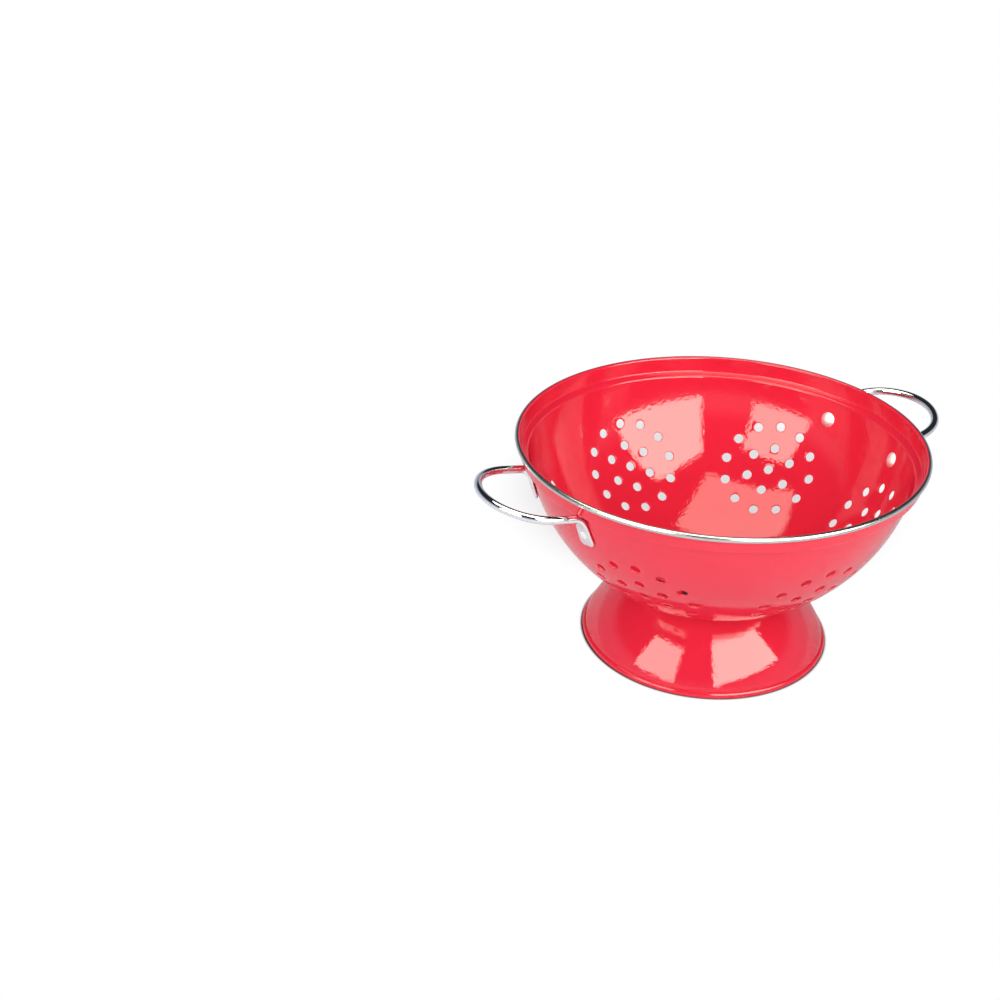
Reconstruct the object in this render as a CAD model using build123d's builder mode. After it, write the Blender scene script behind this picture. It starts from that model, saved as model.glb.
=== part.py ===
from build123d import *
import os
from math import asin, atan, cos, degrees, radians, sin, sqrt, tan

os.makedirs("parts", exist_ok=True)

# Footed colander: a spun round bowl with a stepped collar and a trimmed edge, on a trumpet foot,
# with two wire handles, each held by two rivets.
# Millimetres. +Z up, handles along X, origin on the table under the middle of the foot.

# Sheet metal of the bowl and the foot
sheet = 1.0

# Bowl: outside radius of the round wall, and the height of its lowest point outside
bowl_radius = 114.4
bowl_bottom = 27.8
# Ledge round the top of the round wall: its height, how far it steps out and how much it rises
ledge_height = 122.5
ledge_width = 4.2
ledge_rise = 1.5
# Collar above the ledge, up to the middle of the rolled edge, leaning slightly outwards
collar_height = 9.0
collar_lean = 5.7
# Rolled edge and the steel trim pressed over its top and outside
edge_radius = 1.6
trim_thickness = 0.3
trim_start_angle = 101.0
trim_end_angle = -124.0
# Soft corners of the pressed ledge
ledge_fillet = 1.8
collar_fillet = 1.2

# Drain holes: rosettes of one hole, a ring of six and a ring of twelve
hole_diameter = 5.9
ring_counts = (6, 12)
ring_one_reach = 14.3
ring_two_reach = 28.8
rosette_count = 6
# Angle from straight down to the middle of each side rosette, and the turn of the whole set
rosette_angle = 52.4
rosette_turn = 32.6

# Foot: outside radius at its rolled edge and at the bowl, the roll, and the flat that it rests on
foot_radius = 75.4
neck_radius = 47.5
foot_edge_radius = 2.2
foot_rest_width = 1.6
# Skirt of the foot above the roll: how high it ends in a shoulder, how far the shoulder lies inside
# the roll, and how far the skirt leans in
skirt_height = 6.5
skirt_inset = 2.35
skirt_lean = 13.0
# Flare of the foot from the shoulder to the bowl: share of its height, share of its spread
flare_shares = (
    (0.000, 1.000),
    (0.110, 0.929),
    (0.268, 0.810),
    (0.426, 0.669),
    (0.552, 0.542),
    (0.647, 0.438),
    (0.773, 0.290),
    (0.899, 0.132),
    (1.000, 0.000),
)

# Handles: round wire, tilt of the loop, its rise above the place where it leaves the wall, and the
# plan of the loop: how far off its middle line the corners are centred, and how much rounder than
# a corner its nose is
wire_diameter = 4.7
handle_tilt = 10.4
handle_rise = 4.5
handle_reach = 36.9
handle_half_width = 32.3
handle_corner_side = 6.3
handle_nose_gap = 10.0
# How far the wire stands out before it is level, and how far it runs down into the flat end
handle_bend = 4.2
handle_blend = 4.9
# Flat ends that lie on the bowl: width at the rivet and at the bend, thickness, lengths
tab_width = 10.3
tab_neck_width = 7.0
tab_thickness = 2.0
tab_below_rivet = 8.0
tab_above_rivet = 7.5

# Rivets: how far their middles lie under the ledge, and their sizes
rivet_drop = 12.0
rivet_diameter = 4.0
rivet_head_diameter = 9.4
rivet_head_height = 2.2
rivet_tail_diameter = 5.0
rivet_tail_height = 0.5

# Spare length of cutting tools, and how far a hidden end lies under its surface
overrun = 3.0
sink = 0.2

# Places that follow from the sizes above
bowl_centre = bowl_bottom + bowl_radius
wall_end_radius = sqrt(bowl_radius**2 - (bowl_centre - ledge_height) ** 2)
inside_radius = bowl_radius - sheet
collar_foot = Vector(wall_end_radius + ledge_width, ledge_height + ledge_rise)
collar_top = collar_foot + Vector(collar_height * tan(radians(collar_lean)), collar_height)
edge_centre = collar_top + Vector(edge_radius - sheet / cos(radians(collar_lean)), 0)
rim_radius = edge_centre.X + edge_radius

# Inside corners of the ledge, one sheet away from the outside ones
ledge_angle = atan(ledge_rise / ledge_width)
ledge_way = Vector(cos(ledge_angle), sin(ledge_angle))
ledge_normal = Vector(-sin(ledge_angle), cos(ledge_angle))
collar_normal = Vector(-cos(radians(collar_lean)), sin(radians(collar_lean)))
ledge_start = Vector(wall_end_radius, ledge_height - bowl_centre) + ledge_normal * sheet
ledge_back = ledge_start.dot(ledge_way)
ledge_shift = sqrt(ledge_back**2 - ledge_start.dot(ledge_start) + inside_radius**2) - ledge_back
ledge_inside = ledge_start + ledge_way * ledge_shift + Vector(0, bowl_centre)
corner_share = 1 / (1 + ledge_normal.dot(collar_normal))
collar_inside = collar_foot + (ledge_normal + collar_normal) * (sheet * corner_share)
edge_inside = edge_centre - Vector(edge_radius, 0)


def on_wall(around, below, out=0):
    """Place on the bowl at an angle round it and an angle below its middle height, Z outwards."""
    turn = Rot(0, 0, around) * Rot(0, 90 + below, 0)
    return Pos(0, 0, bowl_centre) * turn * Pos(0, 0, bowl_radius + out)


def rosette(around, up):
    """Places of the holes of one rosette, around an angle and up from straight down."""
    middle = Pos(0, 0, bowl_centre) * Rot(0, 0, around) * Rot(0, -up, 0)
    out = Pos(0, 0, -bowl_radius)
    places = [middle * out]
    for count, reach in zip(ring_counts, (ring_one_reach, ring_two_reach)):
        step = 360 / count
        away = degrees(reach / bowl_radius)
        for k in range(count):
            places.append(middle * Rot(0, 0, step * k) * Rot(0, -away, 0) * out)
    return places


def corners_near(sketch, *points):
    """Corners of a sketch that lie at the given points."""
    return [sketch.vertices().sort_by_distance(Vertex(p.X, p.Y, 0))[0] for p in points]


# Angles below the bowl's middle height of the rivets, of the bend of the wire and of its end in
# the flat end, and the angle of the rivets round the bowl, which the loop's width sets
wire_radius = wire_diameter / 2
rivet_below = degrees(asin((bowl_centre - ledge_height + rivet_drop) / bowl_radius))
bend_below = rivet_below - degrees(tab_above_rivet / bowl_radius)
blend_below = bend_below + degrees(handle_blend / bowl_radius)
bend_reach = (bowl_radius + wire_radius) * cos(radians(bend_below))
rivet_angle = degrees(asin(handle_half_width / bend_reach))
rivet_places = {
    "rivet_right_back": on_wall(rivet_angle, rivet_below),
    "rivet_right_front": on_wall(-rivet_angle, rivet_below),
    "rivet_left_front": on_wall(180 + rivet_angle, rivet_below),
    "rivet_left_back": on_wall(180 - rivet_angle, rivet_below),
}

# Steel trim: a thin open ring round the top and the outside of the rolled edge
with BuildPart() as rim_trim:
    with BuildSketch(Plane.XZ) as trim_profile:
        with BuildLine():
            trim_out = CenterArc(
                edge_centre, edge_radius, trim_end_angle, trim_start_angle - trim_end_angle
            )
            trim_in = CenterArc(
                edge_centre,
                edge_radius - trim_thickness,
                trim_end_angle,
                trim_start_angle - trim_end_angle,
            )
            Line(trim_out @ 0, trim_in @ 0)
            Line(trim_out @ 1, trim_in @ 1)
        make_face()
    revolve(axis=Axis.Z)

# Bowl: round wall, ledge, collar and rolled edge in one sheet
with BuildPart() as bowl:
    with BuildSketch(Plane.XZ) as bowl_profile:
        with BuildLine():
            wall_sweep = 90 - degrees(asin((bowl_centre - ledge_height) / bowl_radius))
            wall_out = CenterArc((0, bowl_centre), bowl_radius, -90, wall_sweep)
            Polyline(wall_out @ 1, collar_foot, collar_top, edge_inside, collar_inside, ledge_inside)
            inside_sweep = 90 - degrees(asin((bowl_centre - ledge_inside.Y) / inside_radius))
            wall_in = CenterArc((0, bowl_centre), inside_radius, -90, inside_sweep)
            Line(wall_out @ 0, wall_in @ 0)
        make_face()
        fillet(corners_near(bowl_profile, ledge_inside, wall_out @ 1), ledge_fillet)
        fillet(corners_near(bowl_profile, collar_inside, collar_foot), collar_fillet)
        with Locations(edge_centre):
            Circle(edge_radius)
        add(trim_profile.sketch, mode=Mode.SUBTRACT)
    revolve(axis=Axis.Z)
    drains = rosette(0, 0)
    for k in range(rosette_count):
        drains += rosette(rosette_turn + 360 / rosette_count * k, rosette_angle)
    with Locations(*drains):
        Cylinder(hole_diameter / 2, 2 * overrun, mode=Mode.SUBTRACT)
    with Locations(*rivet_places.values()):
        Cylinder(rivet_diameter / 2, 2 * overrun, mode=Mode.SUBTRACT)

# Foot: one flared sheet with a shoulder, a short skirt and a rolled lower edge, cut to the round
# wall that it carries
neck_height = bowl_centre - sqrt(bowl_radius**2 - neck_radius**2)
shoulder = Vector(foot_radius - skirt_inset, skirt_height)
neck = Vector(neck_radius, neck_height)
flare = [
    Vector(
        neck.X + spread * (shoulder.X - neck.X),
        shoulder.Y + rise * (neck.Y - shoulder.Y),
    )
    for rise, spread in flare_shares
]
roll_height = sqrt(foot_edge_radius**2 - (foot_rest_width / 2) ** 2)
roll_place = Vector(foot_radius - foot_edge_radius, roll_height)
skirt_drop = shoulder.Y - roll_place.Y
skirt_way = Vector(skirt_drop * tan(radians(skirt_lean)), -skirt_drop)
with BuildPart() as foot:
    with BuildSketch(Plane.XZ) as foot_profile:
        with BuildLine():
            flare_out = Spline(*flare)
            top = Line(flare_out @ 1, flare_out @ 1 + Vector(0, overrun))
            steps = [k / (len(flare) - 1) for k in range(len(flare))]
            flare_back = [
                flare_out.position_at(t) + (flare_out % t).rotate(Axis.Z, 90) * sheet for t in steps
            ]
            flare_in = Spline(*flare_back)
            Polyline(top @ 1, flare_back[-1] + Vector(0, overrun), flare_in @ 1)
            skirt_foot = shoulder + skirt_way
            Polyline(flare_out @ 0, skirt_foot, skirt_foot - Vector(sheet, 0), flare_in @ 0)
        make_face()
        with Locations(roll_place):
            Circle(foot_edge_radius)
        with Locations((foot_radius, 0)):
            Rectangle(
                4 * foot_edge_radius,
                overrun,
                align=(Align.CENTER, Align.MAX),
                mode=Mode.SUBTRACT,
            )
    revolve(axis=Axis.Z)
    with Locations((0, 0, bowl_centre)):
        Sphere(bowl_radius, mode=Mode.SUBTRACT)

# Handle path: a tilted loop, then at each end a bend that runs down into the flat end on the wall
bend_place = on_wall(rivet_angle, bend_below, wire_radius)
blend_out = tab_thickness - wire_radius - sink
blend_place = on_wall(rivet_angle, blend_below, blend_out)
loop_way = (cos(radians(handle_tilt)), 0, sin(radians(handle_tilt)))
loop_plane = Plane(
    origin=(bend_place.position.X + handle_bend, 0, bend_place.position.Z + handle_rise),
    x_dir=loop_way,
    z_dir=(-loop_way[2], 0, loop_way[0]),
)
corner_radius = handle_half_width - handle_corner_side
nose_radius = corner_radius + handle_nose_gap
nose_centre = handle_reach - nose_radius
corner_along = sqrt(handle_nose_gap**2 - handle_corner_side**2)
leg_end = nose_centre + corner_along
leg_start = Vector(0, handle_half_width)
leg_corner = Vector(leg_end, handle_half_width)
nose_start = Vector(nose_centre, 0)
nose_start += Vector(corner_along, handle_corner_side) * (nose_radius / handle_nose_gap)
with BuildLine() as flat_loop:
    leg = Line(leg_start, leg_corner)
    corner = TangentArc(leg_corner, nose_start, tangent=(1, 0))
    ThreePointArc(nose_start, (handle_reach, 0), (nose_start.X, -nose_start.Y))
    mirror(leg, about=Plane.XZ)
    mirror(corner, about=Plane.XZ)

# Flat ends of a handle: tapered tongues that follow the round wall
with BuildPart() as tabs:
    for name in ("rivet_right_back", "rivet_right_front"):
        with BuildSketch(Plane(rivet_places[name])):
            with Locations((tab_below_rivet - tab_width / 2, 0)):
                Circle(tab_width / 2)
            with Locations((tab_neck_width / 2 - tab_above_rivet, 0)):
                Circle(tab_neck_width / 2)
            make_hull()
        extrude(amount=overrun, both=True)
    with Locations((0, 0, bowl_centre)):
        Sphere(bowl_radius + tab_thickness, mode=Mode.INTERSECT)

# Right handle: the wire swept along its path and joined to its flat ends
with BuildPart() as right_handle:
    with BuildLine() as handle_path:
        add(loop_plane.location * flat_loop.line)
        bend = Spline(
            loop_plane.from_local_coords(leg_start),
            bend_place.position,
            blend_place.position,
            tangents=(
                -loop_plane.x_dir,
                blend_place.position - bend_place.position,
            ),
        )
        mirror(bend, about=Plane.XZ)
    path = handle_path.wire()
    with BuildSketch(Plane(origin=path @ 0, z_dir=path % 0)):
        Circle(wire_radius)
    sweep(path=path)
    add(tabs.part)
    with Locations((0, 0, bowl_centre)):
        Sphere(bowl_radius, mode=Mode.SUBTRACT)
    with Locations(rivet_places["rivet_right_back"], rivet_places["rivet_right_front"]):
        Cylinder(rivet_diameter / 2, 2 * overrun, mode=Mode.SUBTRACT)

with BuildPart() as left_handle:
    mirror(right_handle.part, about=Plane.YZ)

# Rivet: domed head inside the bowl, shank through wall and flat end, low tail outside.
# Its own origin is on the outside of the wall, with Z outwards.
shank_radius = rivet_diameter / 2
head_radius = rivet_head_diameter / 2
tail_radius = rivet_tail_diameter / 2
tab_radius = bowl_radius + tab_thickness


def seat(round_radius, across):
    """Point of a round surface about the bowl's centre, at a distance from the rivet's axis."""
    return Vector(across, sqrt(round_radius**2 - across**2) - bowl_radius)


with BuildPart() as rivet:
    with BuildSketch(Plane.XZ) as rivet_profile:
        with BuildLine():
            head_top = Vector(0, -sheet - rivet_head_height)
            head_edge = seat(inside_radius, head_radius)
            head_middle = seat(inside_radius, (head_radius + shank_radius) / 2)
            head_seat = seat(inside_radius, shank_radius)
            tail_seat = seat(tab_radius, shank_radius)
            tail_middle = seat(tab_radius, (tail_radius + shank_radius) / 2)
            tail_edge = seat(tab_radius, tail_radius)
            tail_top = Vector(0, tab_thickness + rivet_tail_height)
            TangentArc(head_top, head_edge, tangent=(1, 0))
            ThreePointArc(head_edge, head_middle, head_seat)
            Line(head_seat, tail_seat)
            ThreePointArc(tail_seat, tail_middle, tail_edge)
            TangentArc(tail_top, tail_edge, tangent=(1, 0))
            Line(tail_top, head_top)
        make_face()
    revolve(axis=Axis.Z)

for name, place in rivet_places.items():
    with BuildPart() as placed_rivet:
        with Locations(place):
            add(rivet.part)
    placed_rivet.part.label = name
    export_step(placed_rivet.part, f"parts/{name}.step")

bowl.part.label = "bowl"
export_step(bowl.part, "parts/bowl.step")
rim_trim.part.label = "rim_trim"
export_step(rim_trim.part, "parts/rim_trim.step")
foot.part.label = "foot"
export_step(foot.part, "parts/foot.step")
right_handle.part.label = "right_handle"
export_step(right_handle.part, "parts/right_handle.step")
left_handle.part.label = "left_handle"
export_step(left_handle.part, "parts/left_handle.step")

print("rim radius", round(rim_radius, 2), "rim top", round(edge_centre.Y + edge_radius, 2))
print("rivet angle", round(rivet_angle, 2), "handle height", round(loop_plane.origin.Z, 2))
print("handle reach", round(loop_plane.from_local_coords(Vector(handle_reach, 0, 0)).X, 2))
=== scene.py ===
# %% [markdown]
# # A footed colander in red enamel
#
# The real one is five pressed and bent pieces and four rivets: a deep bowl with seven rosettes of
# holes, a steel trim rolled over its edge, a flared foot, and two bent wire handles with flat ends.
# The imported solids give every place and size. Here each piece is made again with the finer form
# and finish that a photograph of it shows.

import math

import bpy
import numpy as np
from mathutils import Matrix, Vector
from mathutils.geometry import interpolate_bezier


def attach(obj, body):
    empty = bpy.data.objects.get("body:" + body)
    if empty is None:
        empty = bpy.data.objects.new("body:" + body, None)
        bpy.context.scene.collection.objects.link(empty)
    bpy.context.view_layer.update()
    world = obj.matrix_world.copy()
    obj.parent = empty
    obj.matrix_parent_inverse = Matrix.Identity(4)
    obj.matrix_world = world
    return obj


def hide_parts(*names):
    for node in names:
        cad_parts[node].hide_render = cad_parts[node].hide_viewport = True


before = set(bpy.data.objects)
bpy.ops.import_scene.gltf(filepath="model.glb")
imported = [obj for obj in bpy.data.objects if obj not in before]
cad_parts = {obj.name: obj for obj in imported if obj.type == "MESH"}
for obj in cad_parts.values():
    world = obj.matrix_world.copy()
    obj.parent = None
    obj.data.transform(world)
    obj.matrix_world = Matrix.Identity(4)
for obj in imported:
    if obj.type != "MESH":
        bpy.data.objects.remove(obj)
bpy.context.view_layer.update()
scene = bpy.context.scene
mm = 0.001

# %% [markdown]
# ## Helpers for nodes and materials
# Materials and Geometry Nodes are both trees of nodes, so one function adds a node to either. It
# takes the node's settings by name and the sockets that feed it. Colours are written as a paint
# chart gives them, in sRGB, and one function turns them into the linear values that light uses.
# Sums are the commonest node, so they have a short form.

# %% Colour and node helpers


def linear(hex_colour):
    """Turns an sRGB hex colour into linear values."""
    values = [int(hex_colour[i : i + 2], 16) / 255 for i in (1, 3, 5)]
    return [v / 12.92 if v <= 0.04045 else ((v + 0.055) / 1.055) ** 2.4 for v in values] + [1]


def add(tree, kind, settings=None, links=None):
    """Adds a node. Settings are its properties or input values. Links feed its inputs, each by an
    output, or by a node whose first output is meant."""
    node = tree.nodes.new(kind)
    for name, value in (settings or {}).items():
        if isinstance(name, str) and hasattr(node, name):
            setattr(node, name, value)
        else:
            node.inputs[name].default_value = value
    for name, source in (links or {}).items():
        output = source.outputs[0] if hasattr(source, "outputs") else source
        tree.links.new(output, node.inputs[name])
    return node


def maths(tree, operation, *values):
    """Adds a maths node whose values are numbers, outputs or nodes."""
    numbers = {k: v for k, v in enumerate(values) if isinstance(v, (int, float))}
    links = {k: v for k, v in enumerate(values) if k not in numbers}
    return add(tree, "ShaderNodeMath", {"operation": operation, **numbers}, links)


def empty_material(name):
    """A material with no nodes yet, and its tree."""
    made = bpy.data.materials.new(name)
    made.use_nodes = True
    made.node_tree.nodes.clear()
    return made, made.node_tree


# %% [markdown]
# ## Red enamel
# Vitreous enamel is coloured glass melted on to steel. It flows as it melts, so it keeps a very
# slight orange peel that makes the edges of reflections tremble, and here and there a gas bubble
# leaves a pinhead dimple. Its gloss is that of glass. The ripples could be modelled, but they are
# a few hundredths of a millimetre deep, so bump is enough.

# %% Red enamel
red_enamel, tree = empty_material("red_enamel")
place = add(tree, "ShaderNodeTexCoord").outputs["Object"]
# Ripples about 2 mm from crest to crest
peel_scale = 1 / (2.2 * mm)
peel = add(tree, "ShaderNodeTexNoise", {"Scale": peel_scale, "Detail": 2.0}, {"Vector": place})
ripples = add(tree, "ShaderNodeBump", {"Strength": 0.8, "Distance": 0.08 * mm}, {"Height": peel})
# Dimples about 14 mm apart and 1 mm across
bubbles = add(tree, "ShaderNodeTexVoronoi", {"Scale": 1 / (14 * mm)}, {"Vector": place})
dimple = add(
    tree,
    "ShaderNodeMapRange",
    {"interpolation_type": "SMOOTHSTEP", "From Min": 0.01, "From Max": 0.045},
    {"Value": bubbles.outputs["Distance"]},
)
pitted = add(
    tree,
    "ShaderNodeBump",
    {"Strength": 0.6, "Distance": 0.05 * mm},
    {"Height": dimple, "Normal": ripples},
)
# The melt is a little thicker here and thinner there, over about 30 mm
depth = add(tree, "ShaderNodeTexNoise", {"Scale": 1 / (30 * mm), "Detail": 2.0}, {"Vector": place})
tone = add(
    tree,
    "ShaderNodeMix",
    {"data_type": "RGBA", 6: linear("#E2263C"), 7: linear("#EA2B44")},
    {0: depth},
)
glass = add(
    tree,
    "ShaderNodeBsdfPrincipled",
    {"Roughness": 0.035, "IOR": 1.55},
    {"Base Color": tone.outputs[2], "Normal": pitted},
)
add(tree, "ShaderNodeOutputMaterial", links={"Surface": glass})
print("red enamel: ripples", round(1 / peel_scale / mm, 1), "mm apart")

# %% [markdown]
# ## The three metals
# The trim is bright stainless strip, rolled round the edge, with fine lines along it from the
# rollers. The handles are steel wire with bright chrome plate, the smoothest of the three. The
# rivets are tumbled steel with a softer, satin shine. All three are the same kind of shader with
# their own roughness, so one function makes them, and a stretched noise draws the rollers' lines.

# %% Metals


def metal(name, colour, roughness, spread, grain, stretch):
    """A bare metal whose roughness wanders by a spread, in grains of a size stretched along z."""
    made, tree = empty_material(name)
    place = add(tree, "ShaderNodeTexCoord").outputs["Object"]
    longer = add(tree, "ShaderNodeMapping", {"Scale": (1, 1, stretch)}, {"Vector": place})
    lines = add(
        tree,
        "ShaderNodeTexNoise",
        {"Scale": 1 / (grain * mm), "Detail": 3.0},
        {"Vector": longer},
    )
    wander = add(
        tree,
        "ShaderNodeMapRange",
        {"To Min": roughness - spread, "To Max": roughness + spread},
        {"Value": lines},
    )
    relief = add(tree, "ShaderNodeBump", {"Strength": 0.05, "Distance": 0.02 * mm}, {"Height": lines})
    surface = add(
        tree,
        "ShaderNodeBsdfPrincipled",
        {"Base Color": linear(colour), "Metallic": 1.0},
        {"Roughness": wander, "Normal": relief},
    )
    add(tree, "ShaderNodeOutputMaterial", links={"Surface": surface})
    print(name, "roughness", roughness, "grain", grain, "mm")
    return made


rolled_steel = metal("rolled_stainless_steel", "#C6C6C2", 0.22, 0.06, 6, 30)
chrome_plate = metal("chrome_plate", "#E4E4E6", 0.04, 0.02, 5, 1)
tumbled_steel = metal("tumbled_steel", "#F4F3F1", 0.55, 0.08, 1.2, 1)

# %% [markdown]
# ## From a tree to a plain mesh
# A Geometry Nodes tree is a recipe. It is hung on a seed mesh as a modifier, its inputs are set by
# their identifiers, and the evaluated result is copied out as a plain mesh. The seed goes away
# again, so what is left is an ordinary object with no modifier.

# %% Tree helpers


def new_tree(name, inputs):
    """An empty Geometry Nodes tree with named inputs, and the sockets that give their values."""
    tree = bpy.data.node_groups.new(name, "GeometryNodeTree")
    tree.interface.new_socket("Geometry", in_out="INPUT", socket_type="NodeSocketGeometry")
    for label, kind in inputs.items():
        tree.interface.new_socket(label, in_out="INPUT", socket_type="NodeSocket" + kind)
    tree.interface.new_socket("Geometry", in_out="OUTPUT", socket_type="NodeSocketGeometry")
    return tree, tree.nodes.new("NodeGroupInput").outputs


def grow(name, seed_mesh, tree, values):
    """Runs a tree on a seed mesh and leaves its result as a plain object."""
    seed = bpy.data.objects.new(name + "_seed", seed_mesh)
    scene.collection.objects.link(seed)
    growth = seed.modifiers.new("growth", "NODES")
    growth.node_group = tree
    for item in tree.interface.items_tree:
        if item.item_type == "SOCKET" and item.in_out == "INPUT" and item.name in values:
            growth[item.identifier] = values[item.name]
    graph = bpy.context.evaluated_depsgraph_get()
    mesh = bpy.data.meshes.new_from_object(seed.evaluated_get(graph), depsgraph=graph)
    seed.modifiers.remove(growth)
    bpy.data.objects.remove(seed)
    mesh.name = name
    piece = bpy.data.objects.new(name, mesh)
    scene.collection.objects.link(piece)
    triangles = sum(len(face.vertices) - 2 for face in mesh.polygons)
    print(name, "triangles:", triangles)
    return piece


def finish_tree(tree, result, finish):
    """Ends a tree: copies made real, then one material on everything."""
    real = add(tree, "GeometryNodeRealizeInstances", {}, {0: result})
    dressed = add(tree, "GeometryNodeSetMaterial", {}, {"Geometry": real, "Material": finish})
    add(tree, "NodeGroupOutput", {}, {0: dressed})


def settle(piece, slot, *nodes):
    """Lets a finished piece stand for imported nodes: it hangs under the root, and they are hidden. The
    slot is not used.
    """
    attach(piece, "root")
    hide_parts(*nodes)


# %% [markdown]
# ## Outlines
# Bowl, trim, foot and rivets are all round about an axis, so each is drawn once as an outline of
# points in a vertical plane, x outwards and z up, going anticlockwise. Arcs are drawn with enough
# points to look round, and a pressed corner is an arc that touches both of its straight sides.

# %% Outline helpers


def arc(centre, radius, start, end, steps):
    """Points of an arc from one angle to another, in degrees."""
    angles = [math.radians(start + (end - start) * k / steps) for k in range(steps + 1)]
    return [Vector(centre) + radius * Vector((math.cos(a), math.sin(a))) for a in angles]


def rounded(before, corner, after, radius, steps):
    """Points of the arc that rounds the corner between two straight ways."""
    into, out = (corner - before).normalized(), (after - corner).normalized()
    turn = into.angle(out)
    side = 1 if into.cross(out) > 0 else -1
    start = corner - into * radius * math.tan(turn / 2)
    centre = start + Vector((-into.y, into.x)) * radius * side
    turns = [Matrix.Rotation(side * turn * k / steps, 2) for k in range(steps + 1)]
    return [centre + step @ (start - centre) for step in turns]


def line_mesh(name, points, **values):
    """A line through points in millimetres, each point with its own values, as a tree's seed."""
    mesh = bpy.data.meshes.new(name)
    solid = [p if len(p) == 3 else Vector((p.x, 0, p.y)) for p in points]
    mesh.from_pydata([p * mm for p in solid], [(k, k + 1) for k in range(len(points) - 1)], [])
    for label, numbers in values.items():
        mesh.attributes.new(label, "FLOAT", "POINT").data.foreach_set("value", numbers)
    return mesh


# %% [markdown]
# ## The spinning tree
# Blender has a Screw modifier for this, but the perforating tree below needs round shapes inside
# it, so the spinning is a tree of its own. It makes a grid with one row for each step round the
# axis, and puts each grid point where its outline point comes to when turned by that step. Points
# that meet, at the seam and on the axis, are merged. Edges sharper than a crease angle stay sharp.

# %% Spinning tree
spin, given = new_tree("spin", {"Steps": "Int", "Crease": "Float"})
outline_size = add(spin, "GeometryNodeAttributeDomainSize", {}, {0: given["Geometry"]})
rows = maths(spin, "ADD", given["Steps"], 1.0)
grid = add(spin, "GeometryNodeMeshGrid", {}, {"Vertices X": rows, "Vertices Y": outline_size})
index = add(spin, "GeometryNodeInputIndex")
ratio = maths(spin, "DIVIDE", index, outline_size)
row = maths(spin, "FLOOR", ratio)
column = maths(spin, "MODULO", index, outline_size)
outline_point = add(
    spin,
    "GeometryNodeSampleIndex",
    {"data_type": "FLOAT_VECTOR"},
    {
        "Geometry": given["Geometry"],
        "Value": add(spin, "GeometryNodeInputPosition"),
        "Index": column,
    },
)
share = maths(spin, "DIVIDE", row, given["Steps"])
angle = maths(spin, "MULTIPLY", share, math.tau)
turned = add(
    spin,
    "ShaderNodeVectorRotate",
    {"rotation_type": "Z_AXIS"},
    {"Vector": outline_point, "Angle": angle},
)
spun = add(spin, "GeometryNodeSetPosition", {}, {0: grid, "Position": turned})
welded = add(spin, "GeometryNodeMergeByDistance", {"Distance": 0.001 * mm}, {0: spun})
soft = add(spin, "GeometryNodeSetShadeSmooth", {"domain": "FACE"}, {0: welded})
edge_angle = add(spin, "GeometryNodeInputMeshEdgeAngle").outputs["Unsigned Angle"]
is_smooth = maths(spin, "LESS_THAN", edge_angle, given["Crease"])
creased = add(
    spin,
    "GeometryNodeSetShadeSmooth",
    {"domain": "EDGE"},
    {0: soft, "Shade Smooth": is_smooth},
)
add(spin, "NodeGroupOutput", {}, {0: creased})
crease = math.radians(40)
print("spinning tree:", len(spin.nodes), "nodes")

# %% A tree that only spins
turning, given = new_tree("turning", {"Steps": "Int", "Crease": "Float", "Finish": "Material"})
round_piece = add(
    turning,
    "GeometryNodeGroup",
    {"node_tree": spin},
    {0: given["Geometry"], "Steps": given["Steps"], "Crease": given["Crease"]},
)
finish_tree(turning, round_piece, given["Finish"])

# %% [markdown]
# ## The bowl's outline
# The wall is part of a ball. Above it a ledge steps out and a collar stands up and leans out a
# little, and its edge is rolled over a bead. The sheet is 1 mm thick, so the outline goes up the
# outside, round the bead and down the inside. Under the trim the bead is slightly smaller, so
# that only steel shows there.

# %% Bowl outline
sheet = 1.0
bowl_radius = 114.4
bowl_bottom = 27.8
middle_height = bowl_bottom + bowl_radius
ledge_height = 122.5
ledge_width = 4.2
ledge_rise = 1.5
collar_height = 9.0
collar_lean = math.radians(5.7)
ledge_fillet = 1.8
collar_fillet = 1.2
edge_radius = 1.6
trim_thickness = 0.3
trim_start, trim_end = 101.0, -124.0
# Room between bead and trim, and the angle inside the trim's end where the bead is full again
trim_room = 0.05
bead_step = 3.0
# Points of a long curve that lie nearer than this to a rounded corner are left out
corner_gap = 0.5
wall_steps = 56

# Corners of the outside
drop = middle_height - ledge_height
wall_top = Vector((math.sqrt(bowl_radius**2 - drop**2), ledge_height))
collar_foot = wall_top + Vector((ledge_width, ledge_rise))
collar_top = collar_foot + Vector((collar_height * math.tan(collar_lean), collar_height))
edge_middle = collar_top + Vector((edge_radius - sheet / math.cos(collar_lean), 0))

# Corners of the inside, one sheet away
inside_radius = bowl_radius - sheet
ledge_way = (collar_foot - wall_top).normalized()
ledge_normal = Vector((-ledge_way.y, ledge_way.x))
collar_normal = Vector((-math.cos(collar_lean), math.sin(collar_lean)))
start = wall_top - Vector((0, middle_height)) + ledge_normal * sheet
back = start.dot(ledge_way)
shift = math.sqrt(back**2 - start.dot(start) + inside_radius**2) - back
ledge_inside = start + ledge_way * shift + Vector((0, middle_height))
share = sheet / (1 + ledge_normal.dot(collar_normal))
collar_inside = collar_foot + (ledge_normal + collar_normal) * share
edge_inside = edge_middle - Vector((edge_radius, 0))

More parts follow.
